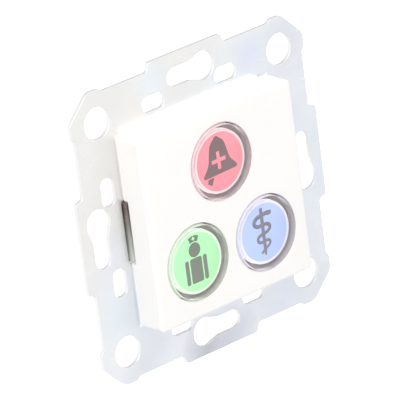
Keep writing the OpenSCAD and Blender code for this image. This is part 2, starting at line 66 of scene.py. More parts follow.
def onWall(x, y, z):  # x right, y up, z out of the wall, in mm
    return Vector((x * mm, -z * mm, y * mm))


def standUp(centre, height):  # lifts a flat mesh from the XY plane onto the front
    return Matrix.Translation(onWall(*centre, height)) @ Matrix.Rotation(math.radians(90), 4, "X")


def newObject(name, data):
    made = bpy.data.objects.new(name, data)
    bpy.context.scene.collection.objects.link(made)
    return made


# Node trees


def feed(tree, socket, value):  # a link for a socket, else a plain value
    if isinstance(value, bpy.types.NodeSocket):
        tree.links.new(value, socket)
    else:
        socket.default_value = value


def addNode(tree, kind, **inputs):
    node = tree.nodes.new(kind)
    for name, value in inputs.items():
        feed(tree, node.inputs[name.replace("_", " ")], value)
    return node


def addMath(tree, operation, a, b=0.0, clamp=False, c=0.0):
    node = tree.nodes.new("ShaderNodeMath")
    node.operation = operation
    node.use_clamp = clamp
    for socket, value in zip(node.inputs, (a, b, c)):
        feed(tree, socket, value)
    return node.outputs[0]


def addStep(tree, value, start, width):  # 0 at the start, 1 a width further on
    return addMath(tree, "DIVIDE", addMath(tree, "SUBTRACT", value, start), width, True)


def addSwing(tree, noise, reach):  # noise about its middle
    return addMath(tree, "MULTIPLY", addMath(tree, "SUBTRACT", noise, 0.5), reach)


def addNoise(tree, vector, scale, detail=3.0, roughness=0.5):
    noise = addNode(
        tree, "ShaderNodeTexNoise", Vector=vector, Scale=scale, Detail=detail, Roughness=roughness
    )
    return noise.outputs["Fac"]


def addRamp(tree, factor, stops):
    node = addNode(tree, "ShaderNodeValToRGB", Fac=factor)
    ramp = node.color_ramp
    while len(ramp.elements) < len(stops):
        ramp.elements.new(0.5)
    for element, (place, colour) in zip(ramp.elements, stops):
        element.position = place
        element.color = (*colour, 1.0)
    return node.outputs["Color"]


def addMix(tree, factor, a, b, blend="MIX"):
    node = tree.nodes.new("ShaderNodeMix")
    node.data_type = "RGBA"
    node.blend_type = blend
    colourA, colourB = (socket for socket in node.inputs if socket.type == "RGBA")
    for socket, value in ((node.inputs["Factor"], factor), (colourA, a), (colourB, b)):
        feed(tree, socket, (*value, 1.0) if isinstance(value, tuple) else value)
    return node.outputs[2]


def startGroup(name, kind, inputs, outputs):
    tree = bpy.data.node_groups.new(name, kind)
    for label, valueKind, value in inputs:
        socket = tree.interface.new_socket(name=label, in_out="INPUT", socket_type="NodeSocket" + valueKind)
        if value is not None:
            socket.default_value = value
    for label, valueKind in outputs:
        tree.interface.new_socket(name=label, in_out="OUTPUT", socket_type="NodeSocket" + valueKind)
    return tree, tree.nodes.new("NodeGroupInput").outputs, tree.nodes.new("NodeGroupOutput").inputs


def placeGroup(tree, group, vector, **inputs):
    node = tree.nodes.new("ShaderNodeGroup")
    node.node_tree = group
    feed(tree, node.inputs[0], vector)
    for name, value in inputs.items():
        feed(tree, node.inputs[name.replace("_", " ")], value)
    return node.outputs


# Shared effects


def makeGrain():  # moulding grain, slow mottle and specks of dust
    look = {
        "grainScale": 2600.0,
        "grainDetail": (2.0, 0.6),
        "mottleScale": 90.0,
        "mottleDetail": (4.0, 0.55),
        "dustScale": 1900.0,
        "dustDetail": (1.0, 0.4),
        "dustStart": 0.72,
        "dustWidth": 1 / 6,
    }
    tree, given, out = startGroup(
        "mouldGrain", "ShaderNodeTree",
        [
            ("Position", "Vector", None),
            ("Grain Scale", "Float", look["grainScale"]),
            ("Mottle Scale", "Float", look["mottleScale"]),
        ],
        [("Height", "Float"), ("Mottle", "Float"), ("Dust", "Float")],
    )
    place = given["Position"]
    specks = addNoise(tree, place, look["dustScale"], *look["dustDetail"])
    feed(tree, out["Height"], addNoise(tree, place, given["Grain Scale"], *look["grainDetail"]))
    feed(tree, out["Mottle"], addNoise(tree, place, given["Mottle Scale"], *look["mottleDetail"]))
    feed(tree, out["Dust"], addStep(tree, specks, look["dustStart"], look["dustWidth"]))
    return tree


def makeScratches():  # hairlines in three directions, and smudges
    look = {
        "turn": 0.6,
        "thinness": 0.02,
        "thinnest": 0.12,
        "lines": ((0.0, 70.0), (1.1, 95.0), (2.3, 60.0)),  # turn, scale
        "lineDetail": (2.0, 0.5),
        "stretch": (0.35, 1.0, 9.0),
        "coverScale": 1.7,
        "coverDetail": (1.0, 0.5),
        "coverStart": 0.58,
        "smudgeScale": 130.0,
        "smudgeDetail": (5.0, 0.65),
        "smudgeStart": 0.45,
        "smudgeWidth": 1 / 3,
    }
    tree, given, out = startGroup(
        "handlingMarks", "ShaderNodeTree",
        [
            ("Position", "Vector", None),
            ("Turn", "Float", look["turn"]),
            ("Thinness", "Float", look["thinness"]),
        ],
        [("Scratch", "Float"), ("Smudge", "Float")],
    )
    place = given["Position"]
    width = addMath(tree, "MULTIPLY", given["Thinness"], look["thinnest"])
    scratch = 0.0
    for turn, scale in look["lines"]:
        turned = tree.nodes.new("ShaderNodeVectorRotate")
        turned.rotation_type = "Y_AXIS"
        feed(tree, turned.inputs["Vector"], place)
        feed(tree, turned.inputs["Angle"], addMath(tree, "ADD", given["Turn"], turn))
        stretched = addNode(tree, "ShaderNodeMapping", Vector=turned.outputs[0], Scale=look["stretch"])
        line = addNoise(tree, stretched.outputs[0], scale, *look["lineDetail"])
        thin = addMath(tree, "LESS_THAN", addMath(tree, "ABSOLUTE", addSwing(tree, line, 1.0)), width)
        cover = addNoise(tree, place, scale * look["coverScale"], *look["coverDetail"])
        shown = addMath(tree, "MULTIPLY", thin, addMath(tree, "GREATER_THAN", cover, look["coverStart"]))
        scratch = addMath(tree, "MAXIMUM", scratch, shown)
    cloud = addNoise(tree, place, look["smudgeScale"], *look["smudgeDetail"])
    feed(tree, out["Scratch"], scratch)
    feed(tree, out["Smudge"], addStep(tree, cloud, look["smudgeStart"], look["smudgeWidth"]))
    return tree


def makeFacing():  # masks of the edges that were cut, from the normal
    tree, given, out = startGroup(
        "cutEdges", "ShaderNodeTree",
        [("Normal", "Vector", None), ("Sharpness", "Float", 3.0)],
        [("Edge", "Float"), ("Level Edge", "Float")],
    )
    split = addNode(tree, "ShaderNodeSeparateXYZ", Vector=given["Normal"])
    side = addMath(tree, "SUBTRACT", 1.0, addMath(tree, "ABSOLUTE", split.outputs["Y"]))
    edge = addMath(tree, "MULTIPLY", side, given["Sharpness"], True)
    level = addMath(tree, "POWER", addMath(tree, "ABSOLUTE", split.outputs["Z"]), 2.0)
    feed(tree, out["Edge"], edge)
    feed(tree, out["Level Edge"], addMath(tree, "MULTIPLY", edge, level))
    return tree


def makePatch():  # soft round mask about a place on the wall
    look = {"reach": 8.0, "wander": 4.0, "waveScale": 110.0, "waveDetail": 2.0, "falloff": 0.8}
    tree, given, out = startGroup(
        "softPatch", "ShaderNodeTree",
        [
            ("Position", "Vector", None),
            ("Place", "Vector", None),
            ("Reach", "Float", look["reach"] * mm),
            ("Wander", "Float", look["wander"] * mm),
        ],
        [("Mask", "Float")],
    )
    gap = tree.nodes.new("ShaderNodeVectorMath")
    gap.operation = "DISTANCE"
    feed(tree, gap.inputs[0], given["Position"])
    feed(tree, gap.inputs[1], given["Place"])
    wave = addNoise(tree, given["Position"], look["waveScale"], look["waveDetail"])
    away = addMath(tree, "ADD", gap.outputs["Value"], addSwing(tree, wave, given["Wander"]))
    near = addMath(tree, "SUBTRACT", 1.0, addMath(tree, "DIVIDE", away, given["Reach"]), True)
    feed(tree, out["Mask"], addMath(tree, "POWER", near, look["falloff"]))
    return tree


grainGroup = makeGrain()
marksGroup = makeScratches()
facingGroup = makeFacing()
patchGroup = makePatch()

# Materials


def startMaterial(name):
    material = bpy.data.materials.new(name)
    material.use_nodes = True
    tree = material.node_tree
    return material, tree, tree.nodes["Principled BSDF"], tree.nodes.new("ShaderNodeTexCoord").outputs


def addBump(tree, shader, height, strength, depth):
    bump = addNode(tree, "ShaderNodeBump", Height=height, Strength=strength, Distance=depth * mm)
    feed(tree, shader.inputs["Normal"], bump.outputs["Normal"])


def addRough(tree, shader, mask, least, more):
    feed(tree, shader.inputs["Roughness"], addMath(tree, "MULTIPLY_ADD", mask, more, c=least))


driftRange = (0.35, 0.65)  # of the mottle, from the darkest tone to the lightest


def mottled(tree, mottle, colour, spread):  # a colour that drifts from darker to lighter
    darker = tuple(c * (1 - spread) for c in colour)
    lighter = tuple(min(1.0, c * (1 + spread)) for c in colour)
    return addRamp(tree, mottle, list(zip(driftRange, (darker, lighter))))


plasticLook = {"dust": (0.75, 0.74, 0.72), "roughSpread": 0.16, "bumpDepth": 0.02}


def plasticMaterial(name, colour, spread, roughness, grain, dust=0.0, glow=0.0):
    look = plasticLook
    material, tree, shader, place = startMaterial(name)
    marks = placeGroup(tree, grainGroup, place["Object"])
    tone = mottled(tree, marks["Mottle"], colour, spread)
    if dust:
        tone = addMix(tree, addMath(tree, "MULTIPLY", marks["Dust"], dust), tone, look["dust"])
    feed(tree, shader.inputs["Base Color"], tone)
    addRough(tree, shader, marks["Mottle"], roughness - look["roughSpread"] / 2, look["roughSpread"])
    if glow:  # painted glow, standing in for light carried inside translucent plastic
        feed(tree, shader.inputs["Emission Color"], tone)
        feed(tree, shader.inputs["Emission Strength"], glow)
    addBump(tree, shader, marks["Height"], grain, look["bumpDepth"])
    return material


metalLook = {
    "grainScale": 1800.0,
    "scratch": (0.95, 0.95, 0.95),
    "smudgeRough": 0.14,
    "bump": 0.2,
    "bumpDepth": 0.015,
}


def finishMetal(tree, shader, tone, grain, worn, marks, roughness, metallic):
    look = metalLook
    tone = addMix(tree, addMath(tree, "MULTIPLY", worn["Scratch"], marks), tone, look["scratch"])
    feed(tree, shader.inputs["Base Color"], tone)
    addRough(tree, shader, worn["Smudge"], roughness, look["smudgeRough"])
    shader.inputs["Metallic"].default_value = metallic
    addBump(tree, shader, grain["Height"], look["bump"], look["bumpDepth"])


def metalMaterial(name, colour, spread, roughness, marks):
    material, tree, shader, place = startMaterial(name)
    grain = placeGroup(
        tree, grainGroup, place["Object"], Grain_Scale=metalLook["grainScale"], Mottle_Scale=160.0
    )
    worn = placeGroup(tree, marksGroup, place["Object"])
    tone = mottled(tree, grain["Mottle"], colour, spread)
    finishMetal(tree, shader, tone, grain, worn, marks, roughness, 1.0)
    return material


def clipMaterial():  # spring steel, brown at its upper end and pale grey-green at its lower
    look = {
        # height on the clip, colour
        "bands": [(0.08, (0.64, 0.68, 0.62)), (0.55, (0.37, 0.37, 0.335)), (0.9, (0.24, 0.175, 0.16))],
        "long": 14.0,
        "mottleScale": 220.0,
        "wander": 0.3,
        "roughness": 0.4,
        "marks": 0.2,
        "metallic": 0.9,
    }
    material, tree, shader, place = startMaterial("bandedClipSteel")
    grain = placeGroup(
        tree, grainGroup, place["Object"],
        Grain_Scale=metalLook["grainScale"], Mottle_Scale=look["mottleScale"],
    )
    worn = placeGroup(tree, marksGroup, place["Object"])
    where = addNode(tree, "ShaderNodeSeparateXYZ", Vector=place["Object"])
    height = addMath(tree, "DIVIDE", where.outputs["Z"], look["long"] * mm)
    height = addMath(tree, "ADD", height, addSwing(tree, grain["Mottle"], look["wander"]))
    tone = addRamp(tree, addMath(tree, "ADD", height, 0.5, True), look["bands"])
    finishMetal(tree, shader, tone, grain, worn, look["marks"], look["roughness"], look["metallic"])
    return material


def zincMaterial():  # zinc plating with the faint violet, blue and straw bloom of its passivation, spots of painted reflection and shade, and painted light and shade on its edges
    look = {
        # way from the upper left to the lower right, colour
        "bands": [
            (0.1, (0.665, 0.66, 0.646)),
            (0.4, (0.645, 0.665, 0.69)),
            (0.68, (0.615, 0.64, 0.685)),
            (0.95, (0.64, 0.655, 0.69)),
        ],
        "bandSlope": 11.0,
        "wanderScale": 42.0,
        "wander": 1.5,
        # painted reflection and shade spots: place on the wall and reach in mm, colour, strength
        "paintedPatches": [
            ((-4, -34), 8, (0.42, 0.42, 0.47), 0.95),
            ((4, -33.5), 7, (0.46, 0.47, 0.53), 0.6),
            ((20, -30), 9, (0.56, 0.60, 0.68), 0.7),
            ((30, -32), 8, (0.56, 0.585, 0.625), 0.7),
            ((18.5, 27.5), 5, (0.58, 0.62, 0.74), 0.7),
            ((30.4, 27.5), 8, (0.58, 0.605, 0.635), 0.7),
            ((33.5, 4), 9, (0.58, 0.61, 0.66), 0.6),
            ((-27, -19), 8, (0.62, 0.68, 0.72), 0.7),
            ((-29, -12), 7, (0.67, 0.71, 0.755), 0.7),
            ((-27, -3), 5, (0.66, 0.69, 0.74), 0.6),
            ((-10.5, 31), 6, (0.62, 0.68, 0.73), 0.7),
            ((-22, -30), 8, (0.59, 0.60, 0.625), 0.6),
            ((33, -8), 9, (0.60, 0.64, 0.70), 0.5),
        ],
        "clouds": [(0.38, (0.95, 0.952, 0.96)), (0.62, (1.0, 1.0, 1.0))],
        "brighter": 1.24,
        "marks": 0.12,
        "scratch": (0.96, 0.97, 0.98),
        "scratchTurn": 0.35,
        "scratchThinness": 0.03,
        "edgeSharpness": 2.4,
        "cut": (0.95, 0.95, 0.95),
        "paintedLevelEdgeShade": (0.68, 0.67, 0.69),
        "grainScale": 1500.0,
        "mottleScale": 55.0,
        "roughness": 0.36,
        "smudgeRough": 0.12,
        "metallic": 0.85,
        "bump": 0.25,
        "bumpDepth": 0.01,
        "moduleHalf": 22.6,
        "moduleFade": 0.4,
        "moduleGlow": 0.45,
    }
    material, tree, shader, place = startMaterial("zincPlate")
    grain = placeGroup(
        tree, grainGroup, place["Object"], Grain_Scale=look["grainScale"], Mottle_Scale=look["mottleScale"]
    )
    worn = placeGroup(
        tree, marksGroup, place["Object"], Turn=look["scratchTurn"], Thinness=look["scratchThinness"]
    )
    facing = placeGroup(tree, facingGroup, place["Normal"], Sharpness=look["edgeSharpness"])
    where = addNode(tree, "ShaderNodeSeparateXYZ", Vector=place["Object"])
    # straw tone towards the upper left, blue towards the lower right
    slope = addMath(tree, "SUBTRACT", where.outputs["X"], where.outputs["Z"])
    slope = addMath(tree, "MULTIPLY", slope, look["bandSlope"])
    wander = addSwing(tree, addNoise(tree, place["Object"], look["wanderScale"]), look["wander"])
    band = addMath(tree, "ADD", addMath(tree, "ADD", slope, wander), 0.5, True)
    tone = addRamp(tree, band, look["bands"])
    # spots of painted reflection and shade
    for spot, reach, colour, strength in look["paintedPatches"]:
        paintedPatch = placeGroup(
            tree, patchGroup, place["Object"], Reach=reach * mm, Place=onWall(*spot, plateFront)
        )
        tone = addMix(tree, addMath(tree, "MULTIPLY", paintedPatch["Mask"], strength), tone, colour)
    tone = addMix(tree, 1.0, tone, addRamp(tree, grain["Mottle"], look["clouds"]), "MULTIPLY")
    tone = addMix(tree, addMath(tree, "MULTIPLY", worn["Scratch"], look["marks"]), tone, look["scratch"])
    tone = addMix(tree, 1.0, tone, (look["brighter"],) * 3, "MULTIPLY")
    # painted light on the plate's side-facing edges, painted shade on the edges that face up or down
    tone = addMix(tree, facing["Edge"], tone, look["cut"])
    tone = addMix(tree, facing["Level Edge"], tone, look["paintedLevelEdgeShade"])
    feed(tree, shader.inputs["Base Color"], tone)
    # light that the pale module throws on the plate beneath its own edge
    x, z = (addMath(tree, "ABSOLUTE", where.outputs[axis]) for axis in "XZ")
    away = addMath(tree, "MAXIMUM", x, z)
    under = addStep(tree, away, look["moduleHalf"] * mm, -look["moduleFade"] * mm)
    feed(tree, shader.inputs["Emission Color"], tone)
    feed(tree, shader.inputs["Emission Strength"], addMath(tree, "MULTIPLY", under, look["moduleGlow"]))
    addRough(tree, shader, worn["Smudge"], look["roughness"], look["smudgeRough"])
    shader.inputs["Metallic"].default_value = look["metallic"]
    addBump(tree, shader, grain["Height"], look["bump"], look["bumpDepth"])
    return material


clearLook = {
    "clouds": [(0.3, (0.96, 0.965, 0.97)), (0.7, (1.0, 1.0, 1.0))],
    "grainScale": 900.0,
    "dustRough": 0.12,
    "bending": 1.56,
    "shadow": (0.94, 0.94, 0.94, 1.0),
}


# clear moulded plastic that lets the lamps' light through to the label; dress gives a tint and, if it
# has one, a glow
def clearMaterial(name, roughness, clarity, dress=None):
    look = clearLook
    material, tree, shader, place = startMaterial(name)
    marks = placeGroup(tree, grainGroup, place["Object"], Grain_Scale=look["grainScale"])
    tone = addRamp(tree, marks["Mottle"], look["clouds"])
    if dress:
        tint, glow = dress(tree, place)
        tone = addMix(tree, 1.0, tone, tint, "MULTIPLY")
        if glow is not None:
            feed(tree, shader.inputs["Emission Color"], tone)
            feed(tree, shader.inputs["Emission Strength"], glow)
    feed(tree, shader.inputs["Base Color"], tone)
    addRough(tree, shader, marks["Dust"], roughness, look["dustRough"])
    shader.inputs["Transmission Weight"].default_value = clarity
    shader.inputs["IOR"].default_value = look["bending"]
    rays = tree.nodes.new("ShaderNodeLightPath")
    see = addNode(tree, "ShaderNodeBsdfTransparent", Color=look["shadow"])
    mixed = tree.nodes.new("ShaderNodeMixShader")
    feed(tree, mixed.inputs[0], rays.outputs["Is Shadow Ray"])
    feed(tree, mixed.inputs[1], shader.outputs[0])
    feed(tree, mixed.inputs[2], see.outputs[0])
    feed(tree, tree.nodes["Material Output"].inputs["Surface"], mixed.outputs[0])
    return material


def addAway(tree, place, centre):  # distance in mm from a button's axis, and the place from it
    middle = onWall(*centre, 0)
    moved = addNode(tree, "ShaderNodeMapping", Vector=place["Object"], Location=-middle)
    flat = addNode(tree, "ShaderNodeSeparateXYZ", Vector=moved.outputs[0])
    squares = [addMath(tree, "MULTIPLY", flat.outputs[axis], flat.outputs[axis]) for axis in "XZ"]
    away = addMath(tree, "SQRT", addMath(tree, "ADD", *squares))
    return addMath(tree, "DIVIDE", away, mm), flat


leanAxis = {"X": -0.87, "Z": 0.5}  # towards the upper left, where the light comes from


def addLean(tree, flat, reach):  # 0 on a button's lower right, 1 on its upper left
    along = [addMath(tree, "MULTIPLY", flat.outputs[axis], share) for axis, share in leanAxis.items()]
    across = addMath(tree, "ADD", *along)
    return addMath(tree, "MULTIPLY_ADD", across, 0.5 / (reach * mm), True, c=0.5)


frostLook = {"roughness": 0.5, "clarity": 0.3}


# frosted side wall: from outside a painted reflection of the label's colour, from within painted shade at the
# lower right and a painted glow on its flanks
def sideMaterial(name, outer, innerShade, centre):
    look = {"reach": 8.5, "shadeUntil": 0.2, "flank": 0.45, "end": 0.7, "carried": 0.5}

    def dress(tree, place):
        side = tree.nodes.new("ShaderNodeNewGeometry").outputs["Backfacing"]
        lean = addLean(tree, addAway(tree, place, centre)[1], look["reach"])
        rise = addStep(tree, lean, look["shadeUntil"], look["flank"] - look["shadeUntil"])
        fall = addStep(tree, lean, look["end"], look["flank"] - look["end"])
        tint = addMix(tree, side, outer, addMix(tree, rise, innerShade, outer))
        # painted glow on the flanks, seen from within the cap
        lit = addMath(tree, "MULTIPLY", side, addMath(tree, "MULTIPLY", rise, fall))
        return tint, addMath(tree, "MULTIPLY", lit, look["carried"])

    return clearMaterial(name, frostLook["roughness"], frostLook["clarity"], dress)


def pocketMaterial(name, colour):  # the pocket's wall takes the label's colour as a painted reflection
    look = {"cloudScale": 160.0, "darker": 0.98}

    def dress(tree, place):
        cloud = addNoise(tree, place["Object"], look["cloudScale"])
        darker = tuple(c * look["darker"] for c in colour)
        return addRamp(tree, cloud, list(zip(driftRange, (darker, colour)))), None

    return clearMaterial(name, frostLook["roughness"], frostLook["clarity"], dress)


def sealMaterial(name, centre):  # splash seal: black rubber, painted shade on its inner part and paler towards its lip
    look = {
        "inside": (0.26, 0.235, 0.235),
        "lip": (0.40, 0.37, 0.37),
        "change": 8.0,
        "softness": 0.3,
        "clouds": [(0.35, (0.92, 0.92, 0.92)), (0.65, (1.0, 1.0, 1.0))],
        "grainScale": 2200.0,
        "mottleScale": 140.0,
        "roughness": 0.54,
        "roughSpread": 0.16,
        "bump": 0.35,
        "bumpDepth": 0.02,
    }
    material, tree, shader, place = startMaterial(name)
    marks = placeGroup(
        tree, grainGroup, place["Object"], Grain_Scale=look["grainScale"], Mottle_Scale=look["mottleScale"]
    )
    away = addAway(tree, place, centre)[0]
    # painted shade: darker within the change radius, paler at the lip
    tone = addMix(tree, addStep(tree, away, look["change"], look["softness"]), look["inside"], look["lip"])
    tone = addMix(tree, 1.0, tone, addRamp(tree, marks["Mottle"], look["clouds"]), "MULTIPLY")
    feed(tree, shader.inputs["Base Color"], tone)
    addRough(tree, shader, marks["Mottle"], look["roughness"], look["roughSpread"])
    addBump(tree, shader, marks["Height"], look["bump"], look["bumpDepth"])
    return material


def labelMaterial(name, colour, light, rim, centre):  # printed film: a coloured disc with a white rim
    look = {
        "disc": 6.6,
        "softness": 0.06,
        "sweepSlope": 45.0,
        "carried": 0.2,
        "reach": 7.2,
        "grainScale": 3000.0,
        "mottleScale": 150.0,
        "roughness": 0.45,
        "bump": 0.1,
        "bumpDepth": 0.01,
    }
    material, tree, shader, place = startMaterial(name)
    marks = placeGroup(
        tree, grainGroup, place["Object"], Grain_Scale=look["grainScale"], Mottle_Scale=look["mottleScale"]
    )
    away, flat = addAway(tree, place, centre)
    # painted light: the disc lightens towards its upper right, with the mottle
    paintedLightSweep = addMath(tree, "ADD", flat.outputs["X"], flat.outputs["Z"])
    paintedLightSweep = addMath(tree, "MULTIPLY_ADD", paintedLightSweep, look["sweepSlope"], c=0.5)
    tone = addMix(tree, addMath(tree, "MULTIPLY", marks["Mottle"], paintedLightSweep, True), colour, light)
    tone = addMix(tree, addStep(tree, away, look["disc"], look["softness"]), tone, rim)
    feed(tree, shader.inputs["Base Color"], tone)
    # light that the cap bends onto the upper left, where the cover's edge would shade the label
    carried = addMath(tree, "MULTIPLY", addLean(tree, flat, look["reach"]), look["carried"])
    feed(tree, shader.inputs["Emission Color"], tone)
    feed(tree, shader.inputs["Emission Strength"], carried)
    shader.inputs["Roughness"].default_value = look["roughness"]
    addBump(tree, shader, marks["Height"], look["bump"], look["bumpDepth"])
    return material


def boardMaterial():  # green solder resist over copper tracks
    look = {
        "resist": (0.012, 0.10, 0.035),
        "track": (0.03, 0.17, 0.06),
        "stain": (0.01, 0.07, 0.03),
        "stains": 0.4,
        "trackScale": 420.0,
        "trackGap": 0.03,
        "grainScale": 1200.0,
        "roughness": 0.3,
        "bump": 0.2,
        "bumpDepth": 0.03,
    }
    material, tree, shader, place = startMaterial("solderResist")
    marks = placeGroup(tree, grainGroup, place["Object"], Grain_Scale=look["grainScale"])
    upright = addNode(
        tree, "ShaderNodeMapping", Vector=place["Object"], Rotation=(math.radians(90), 0, 0)
    )
    tracks = addNode(
        tree, "ShaderNodeTexBrick",
        Vector=upright.outputs[0], Scale=look["trackScale"], Mortar_Size=look["trackGap"],
    )
    tone = addMix(tree, tracks.outputs["Fac"], look["resist"], look["track"])
    tone = addMix(tree, addMath(tree, "MULTIPLY", marks["Mottle"], look["stains"]), tone, look["stain"])
    feed(tree, shader.inputs["Base Color"], tone)
    shader.inputs["Roughness"].default_value = look["roughness"]
    addBump(tree, shader, tracks.outputs["Fac"], look["bump"], look["bumpDepth"])
    return material


zinc = zincMaterial()
clipSteel = clipMaterial()
coverWhite = plasticMaterial("coverPlastic", (0.90, 0.885, 0.865), spread=0.008, roughness=0.36, grain=0.12)
# frame and housing: a painted glow lightens their shaded gaps
frameWhite = plasticMaterial(
    "framePlastic", (0.90, 0.895, 0.885), spread=0.015, roughness=0.48, grain=0.2, glow=0.12
)
housingWhite = plasticMaterial(
    "housingPlastic", (0.82, 0.815, 0.80), spread=0.02, roughness=0.5, grain=0.3, glow=0.12
)
ledLens = plasticMaterial("ledLens", (0.93, 0.88, 0.62), spread=0.05, roughness=0.25, grain=0.05)
terminalGreen = plasticMaterial(
    "terminalPlastic", (0.045, 0.26, 0.12), spread=0.06, roughness=0.45, grain=0.3
)
switchBlack = plasticMaterial(
    "switchPlastic", (0.035, 0.035, 0.037), spread=0.1, roughness=0.45, grain=0.3, dust=0.3
)
stemBlack = plasticMaterial("stemPlastic", (0.05, 0.05, 0.055), spread=0.1, roughness=0.38, grain=0.2)
screwNickel = metalMaterial("nickelScrew", (0.66, 0.65, 0.62), spread=0.06, roughness=0.28, marks=0.3)
clampTin = metalMaterial("tinnedClamp", (0.66, 0.64, 0.60), spread=0.08, roughness=0.34, marks=0.3)
springWire = metalMaterial("springWire", (0.62, 0.62, 0.63), spread=0.05, roughness=0.25, marks=0.2)
resist = boardMaterial()
clear = clearMaterial("clearCap", roughness=0.02, clarity=1.0)

# the lighter disc tone is painted light, the side and pocket tints are painted reflection of the label, the
# side's tone seen from within is painted shade, and the plunger's tint also glows
buttonLooks = {
    "call": {
        "hue": "Red",
        "disc": (0.94, 0.3, 0.362),
        "discPaintedLight": (0.97, 0.43, 0.485),
        "labelRim": (0.92, 0.785, 0.80),
        "ink": (0.23, 0.158, 0.166),
        "plungerName": "plungerRose",
        "plunger": (0.93, 0.84, 0.85),
        "side": (0.98, 0.89, 0.90),
        "sideInsideShade": (0.45, 0.42, 0.42),
        "pocket": (0.97, 0.84, 0.855),
    },
    "nurse": {
        "hue": "Green",
        "disc": (0.475, 0.945, 0.505),
        "discPaintedLight": (0.56, 0.97, 0.60),
        "labelRim": (0.865, 0.96, 0.84),
        "ink": (0.21, 0.226, 0.195),
        "plungerName": "plungerMint",
        "plunger": (0.87, 0.92, 0.86),
        "side": (0.91, 0.95, 0.88),
        "sideInsideShade": (0.49, 0.465, 0.445),
        "pocket": (0.90, 0.94, 0.85),
    },
    "doctor": {
        "hue": "Blue",
        "disc": (0.50, 0.62, 0.965),
        "discPaintedLight": (0.58, 0.675, 0.96),
        "labelRim": (0.91, 0.88, 0.93),
        "ink": (0.25, 0.24, 0.285),
        "plungerName": "plungerSky",
        "plunger": (0.88, 0.87, 0.93),
        "side": (0.95, 0.925, 0.945),
        "sideInsideShade": (0.50, 0.455, 0.455),
        "pocket": (0.94, 0.915, 0.93),
    },
}


def buttonMaterials(button):
    look = buttonLooks[button]
    hue = look["hue"]
    centre = buttons[button]
    return {
        "label": labelMaterial(
            hue.lower() + "Label", look["disc"], look["discPaintedLight"], look["labelRim"], centre
        ),
        "ink": plasticMaterial("inkOn" + hue, look["ink"], spread=0.06, roughness=0.5, grain=0.1),
        "seal": sealMaterial("sealBy" + hue, centre),
        # the plunger's painted glow, in its own tint, stands in for light the clear cap guides onto it
        "plunger": plasticMaterial(
            look["plungerName"], look["plunger"], spread=0.015, roughness=0.45, grain=0.15, glow=0.6
        ),
        "side": sideMaterial("sideBy" + hue, look["side"], look["sideInsideShade"], centre),
        "pocket": pocketMaterial("pocketBy" + hue, look["pocket"]),
    }


dressed = {button: buttonMaterials(button) for button in buttons}
print("materials made:", len(bpy.data.materials))

# CAD nodes that keep their own shape

plainNodes = {
    "module_frame": frameWhite,
    "rear_housing": housingWhite,
    "left_clip": clipSteel,
    "right_clip": clipSteel,
    "circuit_board": resist,
    "indicator_leds": ledLens,
    "terminal_block": terminalGreen,
    "terminal_clamps": clampTin,
    "terminal_screws": screwNickel,
    "housing_screws": screwNickel,
}
for button in buttons:
    for part in ("label", "seal", "plunger"):
        plainNodes[button + "_" + part] = dressed[button][part]
    plainNodes[button + "_switch"] = switchBlack
    plainNodes[button + "_switch_stem"] = stemBlack


def paint(obj, material):
    obj.data.materials.clear()
    obj.data.materials.append(material)


for name, material in plainNodes.items():
    paint(nodes[name], material)
print("CAD nodes painted:", len(plainNodes))

# Pieces over the CAD

weldGap = 0.001  # mm between corners that are one


def addPiece(name, mesh, body, material):
    piece = newObject(name, mesh)
    paint(piece, material)
    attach(piece, body)
    return piece


def shadeSmooth(shape, crease):  # smooth all over, sharp where faces meet at more than the crease
    for face in shape.faces:
        face.smooth = True
    for edge in shape.edges:
        if edge.calc_face_angle(0) > math.radians(crease):
            edge.smooth = False


softLook = {"weld": 0.002, "flat": 0.5, "crease": 40, "steps": 2}
softPieces = {
    "platedPlate": {"node": "mounting_plate", "slot": "zinc_steel", "material": zinc, "round": 0.09},
    "satinCover": {"node": "front_cover", "slot": "cover_plastic", "material": coverWhite, "round": 0.07},
}


def softenedCopy(name, look):  # the node's shape with its edges broken
    mesh = nodes[look["node"]].data.copy()
    shape = bmesh.new()
    shape.from_mesh(mesh)
    bmesh.ops.remove_doubles(shape, verts=shape.verts, dist=softLook["weld"] * mm)
    bmesh.ops.dissolve_limit(
        shape, angle_limit=math.radians(softLook["flat"]), verts=shape.verts, edges=shape.edges
    )
    shadeSmooth(shape, softLook["crease"])
    shape.to_mesh(mesh)
    shape.free()
    piece = addPiece(name, mesh, "module", look["material"])
    edges = piece.modifiers.new("edgeRound", "BEVEL")
    edges.width = look["round"] * mm
    edges.segments = softLook["steps"]
    edges.limit_method = "ANGLE"
    edges.angle_limit = math.radians(softLook["crease"])
    edges.use_clamp_overlap = False
    edges.harden_normals = True
    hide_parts(look["node"])


for name, look in softPieces.items():
    softenedCopy(name, look)
print("plate and cover made")

capLook = {
    "radius": 8.5,
    "rim": 0.15,
    "rimSteps": 8,
    "foot": 0.08,
    "pocket": 7.17,
    "ceiling": 7.18,
    "base": 5.18,
    "steps": 128,
    "crease": 25,
    "upright": 0.1,
}


def lathe(profile, centre, look):  # profile: closed shell from the axis to the axis, as (radius, height)
    steps = look["steps"]
    shape = bmesh.new()
    rows = []
    for radius, height in profile:
        turns = [2 * math.pi * k / steps for k in range(steps if radius else 1)]
        ring = [(centre[0] + radius * math.cos(a), centre[1] + radius * math.sin(a)) for a in turns]
        rows.append([shape.verts.new(onWall(x, y, height)) for x, y in ring])
    for low, high in zip(rows, rows[1:]):
        for k in range(steps):
            a, b = low[k % len(low)], low[(k + 1) % len(low)]
            c, d = high[(k + 1) % len(high)], high[k % len(high)]
            shape.faces.new(list(dict.fromkeys((a, b, c, d))))
    bmesh.ops.recalc_face_normals(shape, faces=shape.faces)
    shadeSmooth(shape, look["crease"])
    mesh = bpy.data.meshes.new("lathe")
    shape.to_mesh(mesh)
    shape.free()
    return mesh


